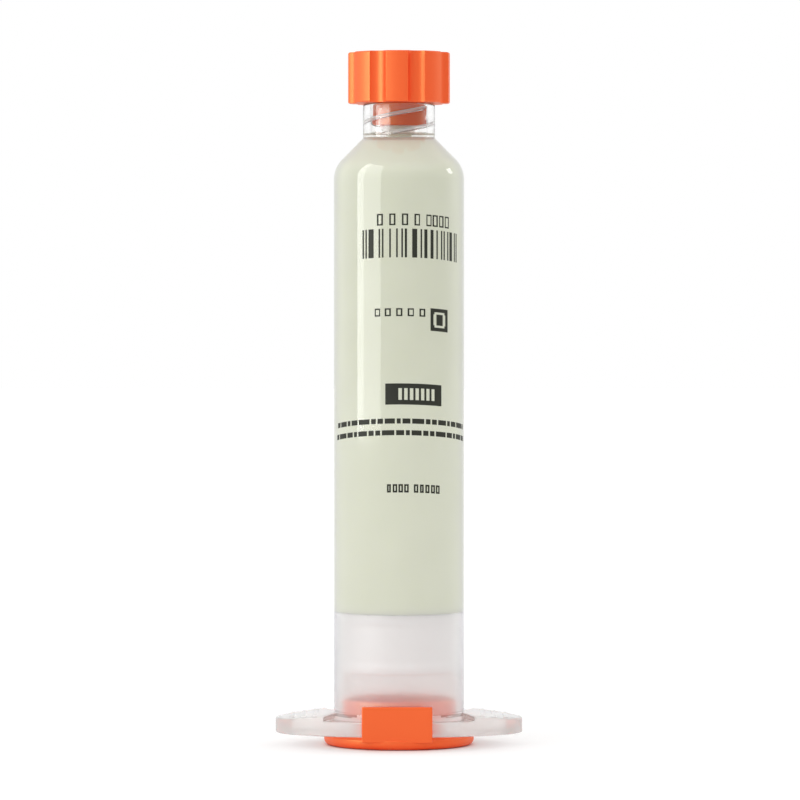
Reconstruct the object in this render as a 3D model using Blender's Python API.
"""A ready-filled flux dispensing syringe, stood on its end cap with the tip up.

Five pieces, all on one upright axis: a clear luer-lock barrel with a finger flange, the flux paste in it,
the wiper piston behind the paste, the fluted tip cap on the luer nozzle, and the clip-in end cap.
Everything is in metres. Z = 0 is the underside of the end cap, and the finger flange's ears point along X.
"""

import math

import bmesh
import bpy

# Facets around a turned surface, round a full turn of a rounding, and round a flute's cutter
TURN_STEPS = 64
ROUNDING_STEPS = 16
FLUTE_STEPS = 24

# Fits between the pieces
SEAT_GAP = 0.00005        # flange underside to the end cap's disc
LIP_GAP = 0.00005         # piston lips to the bore
PASTE_GAP = 0.00005       # paste to the walls round it
LUER_GAP = 0.00005        # cap socket to the nozzle's taper
RIM_GAP = 0.00010         # grip underside to the collar's rim
PLUG_GAP = 0.00010        # end cap's plug ring to the bore
CATCH_GAP = 0.00005       # catch bead to the flange's edge as the end cap pulls off
LUG_GAP = 0.00027         # cap lugs to the plain bore of the collar, which leaves room for its thread

# Barrel tube and shoulder
BORE_RADIUS = 0.00795
BARREL_WALL = 0.00110
TUBE_LENGTH = 0.07675     # flange underside to the start of the shoulder
SHOULDER_RADIUS = 0.00400
SHOULDER_ANGLE = math.radians(45)
BORE_CHAMFER = 0.00030

# Luer-lock end
COLLAR_RADIUS = 0.00500
COLLAR_WALL = 0.00100
COLLAR_HEIGHT = 0.00470   # above the shoulder's cone
COLLAR_DEPTH = 0.00430    # rim down to the floor round the nozzle
FLOOR_THICKNESS = 0.00120
NOZZLE_REACH = 0.00250    # nozzle tip above the rim
NOZZLE_TIP_RADIUS = 0.00198
NOZZLE_BORE_RADIUS = 0.00110
LUER_SLOPE = 0.03         # radius gained for each unit of length, a six per cent taper
RIM_ROUNDING = 0.00025

# Finger flange
FLANGE_HALF_LENGTH = 0.01715
FLANGE_HALF_WIDTH = 0.00935
FLANGE_THICKNESS = 0.00205
FLANGE_ROUNDING = 0.00030
BASE_FILLET = 0.00100
EAR_RISE = 0.00085        # the ears' top above the middle's, at the step
EAR_SLOPE = math.radians(5.0)
STEP_INSET = 0.00030      # the step's inner corner, inside the tube's outer face
STEP_NOTCH = 0.00230      # half length of the step's straight stretch beside the tube
STEP_ANGLE = math.radians(17.5)
RIB_ROOT_INSET = 0.00255  # tube's outer face to the first rib
RIB_TIP_INSET = 0.00240   # at least this much from the last rib to the ear's tip
RIB_PITCH = 0.00155
RIB_WIDTH = 0.00070
RIB_HEIGHT = 0.00025
RIB_END_INSET = 0.00080

# Piston
LIP_REST = 0.01671        # wiping lip above the flange underside, with a full charge
PISTON_LENGTH = 0.00830   # skirt edge to the wiping lip
LIP_HEIGHT = 0.00110
SKIRT_BAND = 0.00150
WAIST_DEPTH = 0.00030
WAIST_BLEND = 0.00040
PISTON_WALL = 0.00130
CROWN_THICKNESS = 0.00170
NOSE_RIM = 0.00070        # flat between the lip's edge and the nose
NOSE_HEIGHT = 0.00290
NOSE_ANGLE = math.radians(45)

# Tip cap
GRIP_RADIUS = 0.00706
GRIP_HEIGHT = 0.00705
GRIP_ROUNDING = 0.00025
FLUTE_COUNT = 8
FLUTE_DEPTH = 0.00070
FLUTE_HALF_WIDTH = 0.00123
FLUTE_PHASE = math.radians(-24.8)
HUB_RADIUS = 0.00340
HUB_LENGTH = 0.00360
HUB_ROUNDING = 0.00020
SOCKET_ROOM = 0.00060     # nozzle tip to the socket's end
LUG_COUNT = 2
LUG_HEIGHT = 0.00080
LUG_HALF_WIDTH = 0.00120

# End cap
DISC_RADIUS = 0.01040
DISC_THICKNESS = 0.00160
DISC_ROUNDING = 0.00080
DISC_CHAMFER = 0.00050
PLUG_WALL = 0.00120
PLUG_HEIGHT = 0.00480     # above the disc
PLUG_ROUNDING = 0.45      # of the ring's wall, at each corner of its top
TAB_THICKNESS = 0.00075   # outside the catch bead's root
TAB_HALF_WIDTH = 0.00484
TAB_HEIGHT = 0.00433      # above the disc
TAB_ROOT = 0.00060        # below the disc's top
TAB_BEVEL = 0.00015
CATCH_RISE = 0.00055      # underside of the catch bead above the flange's middle
CATCH_HEIGHT = 0.00080
CATCH_DEPTH = 0.00025

# Heights that follow
FLANGE_Z = DISC_THICKNESS + SEAT_GAP
TUBE_RADIUS = BORE_RADIUS + BARREL_WALL
SHOULDER_Z = TUBE_LENGTH
SHOULDER_CENTRE = TUBE_RADIUS - SHOULDER_RADIUS
BEND_RISE = SHOULDER_RADIUS * math.sin(SHOULDER_ANGLE)
BEND_END = SHOULDER_CENTRE + SHOULDER_RADIUS * math.cos(SHOULDER_ANGLE)
CONE_RUN = BEND_END - COLLAR_RADIUS
COLLAR_Z = SHOULDER_Z + BEND_RISE + CONE_RUN / math.tan(SHOULDER_ANGLE)
RIM_Z = COLLAR_Z + COLLAR_HEIGHT
FLOOR_Z = RIM_Z - COLLAR_DEPTH
ROOF_Z = FLOOR_Z - FLOOR_THICKNESS
NOZZLE_TIP_Z = RIM_Z + NOZZLE_REACH


def arc(centre_r, centre_z, radius, start, end):
    """Points of a circular arc in a turned profile, angles in degrees from the outward direction."""
    steps = max(2, round(ROUNDING_STEPS * abs(end - start) / 360))
    angles = [math.radians(start + (end - start) * i / steps) for i in range(steps + 1)]
    return [(centre_r + radius * math.cos(a), centre_z + radius * math.sin(a)) for a in angles]


def finish_mesh(bm, name):
    bmesh.ops.remove_doubles(bm, verts=bm.verts, dist=1e-8)
    bmesh.ops.recalc_face_normals(bm, faces=bm.faces)
    mesh = bpy.data.meshes.new(name)
    bm.to_mesh(mesh)
    bm.free()
    item = bpy.data.objects.new(name, mesh)
    bpy.context.scene.collection.objects.link(item)
    return item


def turned(name, profile):
    """A closed (radius, height) outline spun once round Z."""
    bm = bmesh.new()
    ring = [bm.verts.new((r, 0, z)) for r, z in profile]
    edges = [bm.edges.new((a, b)) for a, b in zip(ring, ring[1:] + ring[:1])]
    on_axis = [e for e in edges if all(v.co.x < 1e-9 for v in e.verts)]
    bmesh.ops.delete(bm, geom=on_axis, context="EDGES")
    bmesh.ops.spin(
        bm, geom=bm.edges[:], cent=(0, 0, 0), axis=(0, 0, 1), angle=math.tau, steps=TURN_STEPS, use_merge=True
    )
    return finish_mesh(bm, name)


def prism(name, outline, low, high, rounding=0.0):
    """A flat (x, y) outline raised from low to high, its two rims rounded."""
    bm = bmesh.new()
    base = bm.faces.new([bm.verts.new((x, y, low)) for x, y in outline])
    grown = bmesh.ops.extrude_face_region(bm, geom=[base])
    top = [v for v in grown["geom"] if isinstance(v, bmesh.types.BMVert)]
    bmesh.ops.translate(bm, verts=top, vec=(0, 0, high - low))
    bmesh.ops.recalc_face_normals(bm, faces=bm.faces)
    if rounding:
        rims = [e for e in bm.edges if abs(e.verts[0].co.z - e.verts[1].co.z) < 1e-9]
        bmesh.ops.bevel(
            bm, geom=rims, offset=rounding, segments=2, profile=0.5, affect="EDGES", clamp_overlap=True
        )
    return finish_mesh(bm, name)


def combine(target, tool, operation):
    """Adds a Boolean to the target and keeps the tool as a hidden helper."""
    modifier = target.modifiers.new(f"{operation.lower()}_{tool.name}", "BOOLEAN")
    modifier.operation = operation
    modifier.solver = "EXACT"
    modifier.object = tool
    tool.hide_render = True
    tool.display_type = "WIRE"
    tool.parent = target


def plastic(name, colour, roughness, transmission=0.0, alpha=1.0):
    material = bpy.data.materials.new(name)
    material.use_nodes = True
    shader = material.node_tree.nodes["Principled BSDF"]
    shader.inputs["Base Color"].default_value = (*colour, 1)
    shader.inputs["Roughness"].default_value = roughness
    shader.inputs["Metallic"].default_value = 0.0
    shader.inputs["Transmission Weight"].default_value = transmission
    shader.inputs["Alpha"].default_value = alpha
    return material


def dress(item, material, base_z):
    """Gives a finished piece its material, smooth shading and place on the axis."""
    item.data.materials.append(material)
    item.data.shade_smooth()
    item.data.set_sharp_from_angle(angle=math.radians(35))
    item.location.z = base_z
    return item


def nozzle_radius(z):
    """The luer taper's outer radius at a height above the flange underside."""
    return NOZZLE_TIP_RADIUS + (NOZZLE_TIP_Z - z) * LUER_SLOPE


def shoulder_inside(clearance):
    """The bore's closed end as (radius, height), from the tube's wall to the roof, drawn in by a clearance."""
    bend = SHOULDER_RADIUS - BARREL_WALL - clearance
    degrees = math.degrees(SHOULDER_ANGLE)
    points = arc(SHOULDER_CENTRE, SHOULDER_Z, bend, 0, degrees)
    r, z = points[-1]
    roof = ROOF_Z - clearance
    points.append((r - (roof - z) * math.tan(SHOULDER_ANGLE), roof))
    return points


def flange_outline(inset=0.0):
    """The flange seen from above: an oval with its long axis on X."""
    steps = TURN_STEPS
    a = FLANGE_HALF_LENGTH - inset
    b = FLANGE_HALF_WIDTH - inset
    return [(a * math.cos(math.tau * i / steps), b * math.sin(math.tau * i / steps)) for i in range(steps)]


def ear_top(x):
    """Height of an ear's top above the flange underside."""
    step_x = TUBE_RADIUS - STEP_INSET
    return FLANGE_THICKNESS + EAR_RISE - max(0.0, abs(x) - step_x) * math.tan(EAR_SLOPE)


def flange_blank():
    """The oval at the ears' full height, its rim rounded and its top sloping down to the ear tips."""
    bm = bmesh.new()
    turns = [math.radians(a) for a in (0, 45, 90)]
    lower = [(FLANGE_ROUNDING * (1 - math.sin(a)), FLANGE_ROUNDING * (1 - math.cos(a))) for a in turns]
    rings = []
    for inset, rise in lower:
        rings.append([bm.verts.new((x, y, rise)) for x, y in flange_outline(inset)])
    for inset, drop in reversed(lower):
        rings.append([bm.verts.new((x, y, ear_top(x) - drop)) for x, y in flange_outline(inset)])
    count = TURN_STEPS
    for under, over in zip(rings, rings[1:]):
        for i in range(count):
            j = (i + 1) % count
            bm.faces.new((under[i], under[j], over[j], over[i]))
    bm.faces.new(reversed(rings[0]))
    # The top is laid across in strips from the front rim to the back one, so each strip stays flat
    top = rings[-1]
    for i in range(count // 2):
        j = i + 1
        corners = [top[i], top[j], top[(count - j) % count], top[(count - i) % count]]
        unique = [v for n, v in enumerate(corners) if v not in corners[:n]]
        bm.faces.new(unique)
    return finish_mesh(bm, "flange_blank")


def flange_step_cutter():
    """The waist between the ears: straight beside the tube, then widening to the flange's front and back."""
    near = TUBE_RADIUS - STEP_INSET
    reach = FLANGE_HALF_LENGTH
    far = near + (reach - STEP_NOTCH) * math.tan(STEP_ANGLE)
    half = [(far, -reach), (near, -STEP_NOTCH), (near, STEP_NOTCH), (far, reach)]
    outline = half + [(-x, -y) for x, y in half]
    return prism("flange_step_cutter", outline, FLANGE_THICKNESS, FLANGE_THICKNESS + 4 * EAR_RISE)


def base_fillet():
    """The hollow curve from the tube down to the flange, kept inside the flange's rounded rim."""
    root = FLANGE_THICKNESS / 2
    inner = TUBE_RADIUS - BARREL_WALL / 2
    outer = TUBE_RADIUS + BASE_FILLET
    curve = arc(outer, FLANGE_THICKNESS + BASE_FILLET, BASE_FILLET, 270, 180)
    ring = turned("base_fillet", [(inner, root), (outer, root), *curve, (inner, curve[-1][1])])
    rim = prism("base_fillet_rim", flange_outline(FLANGE_ROUNDING), 0, FLANGE_THICKNESS + 2 * BASE_FILLET)
    combine(ring, rim, "INTERSECT")
    return ring


def ear_rib(name, x):
    """One low grip rib across an ear, with sloping sides and ends."""
    foot = RIB_WIDTH / 2
    crest = foot - RIB_HEIGHT / 2
    share = 1 - (abs(x) / FLANGE_HALF_LENGTH) ** 2
    reach = FLANGE_HALF_WIDTH * math.sqrt(share) - RIB_END_INSET
    bm = bmesh.new()
    corners = ((-1, -1), (1, -1), (1, 1), (-1, 1))
    sunk = RIB_HEIGHT
    levels = ((foot, reach, -sunk), (foot, reach, 0.0), (crest, reach - RIB_HEIGHT, RIB_HEIGHT))
    rings = []
    for half, length, rise in levels:
        ring = [(x + sx * half, sy * length) for sx, sy in corners]
        rings.append([bm.verts.new((px, py, ear_top(px) + rise)) for px, py in ring])
    for under, over in zip(rings, rings[1:]):
        for i in range(4):
            j = (i + 1) % 4
            bm.faces.new((under[i], under[j], over[j], over[i]))
    bm.faces.new(reversed(rings[0]))
    bm.faces.new(rings[-1])
    return finish_mesh(bm, name)


def make_barrel():
    bend = math.degrees(SHOULDER_ANGLE)
    collar_bore = COLLAR_RADIUS - COLLAR_WALL
    outer = arc(SHOULDER_CENTRE, SHOULDER_Z, SHOULDER_RADIUS, 0, bend)
    rim_outer = arc(COLLAR_RADIUS - RIM_ROUNDING, RIM_Z - RIM_ROUNDING, RIM_ROUNDING, 0, 90)
    rim_inner = arc(collar_bore + RIM_ROUNDING, RIM_Z - RIM_ROUNDING, RIM_ROUNDING, 90, 180)
    tip = arc(NOZZLE_TIP_RADIUS - RIM_ROUNDING, NOZZLE_TIP_Z - RIM_ROUNDING, RIM_ROUNDING, 0, 90)
    profile = [
        (TUBE_RADIUS, 0),
        *outer,
        (COLLAR_RADIUS, COLLAR_Z),
        *rim_outer,
        *rim_inner,
        (collar_bore, FLOOR_Z),
        (nozzle_radius(FLOOR_Z), FLOOR_Z),
        *tip,
        (NOZZLE_BORE_RADIUS, NOZZLE_TIP_Z),
        (NOZZLE_BORE_RADIUS, ROOF_Z),
        *reversed(shoulder_inside(0)),
        (BORE_RADIUS, BORE_CHAMFER),
        (BORE_RADIUS + BORE_CHAMFER, 0),
    ]
    barrel = turned("barrel", profile)

    flange = flange_blank()
    combine(flange, flange_step_cutter(), "DIFFERENCE")
    combine(flange, base_fillet(), "UNION")
    first = TUBE_RADIUS + RIB_ROOT_INSET
    pitches = math.floor((FLANGE_HALF_LENGTH - RIB_TIP_INSET - first) / RIB_PITCH)
    for side, word in ((-1, "left"), (1, "right")):
        for i in range(pitches + 1):
            rib = ear_rib(f"{word}_ear_rib_{i + 1}", side * (first + i * RIB_PITCH))
            combine(flange, rib, "UNION")
    hole = TUBE_RADIUS - BARREL_WALL / 2
    below = -FLANGE_THICKNESS
    above = FLANGE_THICKNESS + 2 * BASE_FILLET + EAR_RISE
    opening = turned("flange_hole", [(0, below), (hole, below), (hole, above), (0, above)])
    combine(flange, opening, "DIFFERENCE")
    combine(barrel, flange, "UNION")
    return dress(barrel, plastic("clear_polypropylene", (0.93, 0.94, 0.93), 0.12, transmission=0.9), FLANGE_Z)


def piston_nose():
    """(radius, height) of the nose above the wiping lip: its foot and its flat top."""
    foot = BORE_RADIUS - LIP_GAP - NOSE_RIM
    return foot, foot - NOSE_HEIGHT * math.tan(NOSE_ANGLE)


def make_piston():
    lip = BORE_RADIUS - LIP_GAP
    waist = lip - WAIST_DEPTH
    inner = waist - PISTON_WALL
    foot, flat = piston_nose()
    lip_low = PISTON_LENGTH - LIP_HEIGHT
    crown = PISTON_LENGTH - CROWN_THICKNESS
    chamfer = WAIST_DEPTH
    profile = [
        (inner, 0),
        (lip - chamfer, 0),
        (lip, chamfer),
        (lip, SKIRT_BAND),
        (waist, SKIRT_BAND + WAIST_BLEND),
        (waist, lip_low - WAIST_BLEND),
        (lip, lip_low),
        (lip, PISTON_LENGTH),
        (foot, PISTON_LENGTH),
        (flat, PISTON_LENGTH + NOSE_HEIGHT),
        (0, PISTON_LENGTH + NOSE_HEIGHT),
        (0, crown + NOSE_HEIGHT),
        (flat - chamfer, crown + NOSE_HEIGHT),
        (inner, crown),
    ]
    piston = turned("piston", profile)
    skirt_z = FLANGE_Z + LIP_REST - PISTON_LENGTH
    return dress(piston, plastic("white_polyethylene", (0.88, 0.88, 0.87), 0.4), skirt_z)


def make_paste():
    """The charge of paste: moulded by the piston's nose below, and by the shoulder and nozzle above."""
    foot, flat = piston_nose()
    low = LIP_REST + PASTE_GAP
    nose_low = low + NOSE_HEIGHT
    lead = NOZZLE_BORE_RADIUS - PASTE_GAP
    tip = NOZZLE_TIP_Z - PASTE_GAP
    wall = shoulder_inside(PASTE_GAP)
    points = [
        (0, nose_low),
        (flat, nose_low),
        (foot, low),
        (wall[0][0], low),
        *wall,
        (lead, wall[-1][1]),
        (lead, tip),
        (0, tip),
    ]
    paste = turned("flux_paste", [(r, z - LIP_REST) for r, z in points])
    return dress(paste, plastic("flux_paste", (0.70, 0.72, 0.56), 0.35), FLANGE_Z + LIP_REST)


def make_tip_cap():
    """Height zero here is the grip's underside, just over the collar's rim."""
    underside = RIM_Z + RIM_GAP
    mouth = -HUB_LENGTH
    end = NOZZLE_TIP_Z + SOCKET_ROOM - underside
    mouth_radius = nozzle_radius(underside + mouth) + LUER_GAP
    end_radius = nozzle_radius(underside + end) + LUER_GAP
    profile = [
        (mouth_radius, mouth),
        *arc(HUB_RADIUS - HUB_ROUNDING, mouth + HUB_ROUNDING, HUB_ROUNDING, -90, 0),
        (HUB_RADIUS, 0),
        *arc(GRIP_RADIUS - GRIP_ROUNDING, GRIP_ROUNDING, GRIP_ROUNDING, -90, 0),
        *arc(GRIP_RADIUS - GRIP_ROUNDING, GRIP_HEIGHT - GRIP_ROUNDING, GRIP_ROUNDING, 0, 90),
        (0, GRIP_HEIGHT),
        (0, end),
        (end_radius, end),
    ]
    cap = turned("tip_cap", profile)
    flute_radius = (FLUTE_HALF_WIDTH**2 + FLUTE_DEPTH**2) / (2 * FLUTE_DEPTH)
    centre = math.sqrt(GRIP_RADIUS**2 - FLUTE_HALF_WIDTH**2) - FLUTE_DEPTH + flute_radius
    spare = GRIP_HEIGHT / 2
    for i in range(FLUTE_COUNT):
        facing = FLUTE_PHASE + math.tau * i / FLUTE_COUNT - math.pi / 2
        cx = centre * math.cos(facing)
        cy = centre * math.sin(facing)
        ring = [math.tau * n / FLUTE_STEPS for n in range(FLUTE_STEPS)]
        outline = [(cx + flute_radius * math.cos(a), cy + flute_radius * math.sin(a)) for a in ring]
        cutter = prism(f"flute_cutter_{i + 1}", outline, -spare, GRIP_HEIGHT + spare)
        combine(cap, cutter, "DIFFERENCE")
    lug_reach = COLLAR_RADIUS - COLLAR_WALL - LUG_GAP
    for i in range(LUG_COUNT):
        lug = lug_block(f"cap_lug_{i + 1}", lug_reach, mouth, math.tau * i / LUG_COUNT)
        combine(cap, lug, "UNION")
    return dress(cap, plastic("orange_tip_cap", (0.93, 0.13, 0.03), 0.35), FLANGE_Z + underside)


def lug_block(name, reach, low, turn):
    """A luer-lock lug: a short piece of ring round the hub's lower end."""
    half = math.asin(LUG_HALF_WIDTH / reach)
    root = (HUB_RADIUS + nozzle_radius(RIM_Z + low) + LUER_GAP) / 2
    steps = 4
    angles = [turn - half + 2 * half * i / steps for i in range(steps + 1)]
    outer = [(reach * math.cos(a), reach * math.sin(a)) for a in angles]
    inner = [(root * math.cos(a), root * math.sin(a)) for a in reversed(angles)]
    return prism(name, outer + inner, low + HUB_ROUNDING, low + HUB_ROUNDING + LUG_HEIGHT)


def make_end_cap():
    plug = BORE_RADIUS - PLUG_GAP
    plug_inner = plug - PLUG_WALL
    plug_top = DISC_THICKNESS + PLUG_HEIGHT
    rounding = PLUG_WALL * PLUG_ROUNDING
    profile = [
        (0, 0),
        *arc(DISC_RADIUS - DISC_ROUNDING, DISC_ROUNDING, DISC_ROUNDING, -90, 0),
        (DISC_RADIUS, DISC_THICKNESS - DISC_CHAMFER),
        (DISC_RADIUS - DISC_CHAMFER, DISC_THICKNESS),
        (plug, DISC_THICKNESS),
        *arc(plug - rounding, plug_top - rounding, rounding, 0, 90),
        *arc(plug_inner + rounding, plug_top - rounding, rounding, 90, 180),
        (plug_inner, DISC_THICKNESS),
        (0, DISC_THICKNESS),
    ]
    cap = turned("end_cap", profile)
    combine(cap, tab_bridge(), "UNION")
    return dress(cap, plastic("orange_end_cap", (0.93, 0.13, 0.03), 0.35), 0)


def tab_bridge():
    """The front and back tabs and the strip of disc between them: one U-shaped section drawn out along X.

    Each tab has a catch bead with sloping flanks on its inner face, which stands over the flange.
    """
    edge = FLANGE_HALF_WIDTH + CATCH_GAP
    inside = edge + CATCH_DEPTH
    outside = inside + TAB_THICKNESS
    top = DISC_THICKNESS + TAB_HEIGHT
    catch_low = FLANGE_Z + FLANGE_THICKNESS + CATCH_RISE
    flank = CATCH_HEIGHT / 4
    right = [
        (outside, DISC_THICKNESS - TAB_ROOT),
        (outside, top),
        (inside, top),
        (inside, catch_low + CATCH_HEIGHT),
        (edge, catch_low + CATCH_HEIGHT - flank),
        (edge, catch_low + flank),
        (inside, catch_low),
        (inside, DISC_THICKNESS),
    ]
    section = right + [(-y, z) for y, z in reversed(right)]
    bm = bmesh.new()
    face = bm.faces.new([bm.verts.new((-TAB_HALF_WIDTH, y, z)) for y, z in section])
    grown = bmesh.ops.extrude_face_region(bm, geom=[face])
    far = [v for v in grown["geom"] if isinstance(v, bmesh.types.BMVert)]
    bmesh.ops.translate(bm, verts=far, vec=(2 * TAB_HALF_WIDTH, 0, 0))
    outer = [e for e in bm.edges if all(abs(v.co.y) > inside + TAB_THICKNESS / 2 for v in e.verts)]
    bmesh.ops.bevel(bm, geom=outer, offset=TAB_BEVEL, segments=2, profile=0.5, affect="EDGES")
    return finish_mesh(bm, "tab_bridge")


def clear_scene():
    for item in list(bpy.data.objects):
        bpy.data.objects.remove(item, do_unlink=True)


clear_scene()
make_barrel()
make_paste()
make_piston()
make_tip_cap()
make_end_cap()
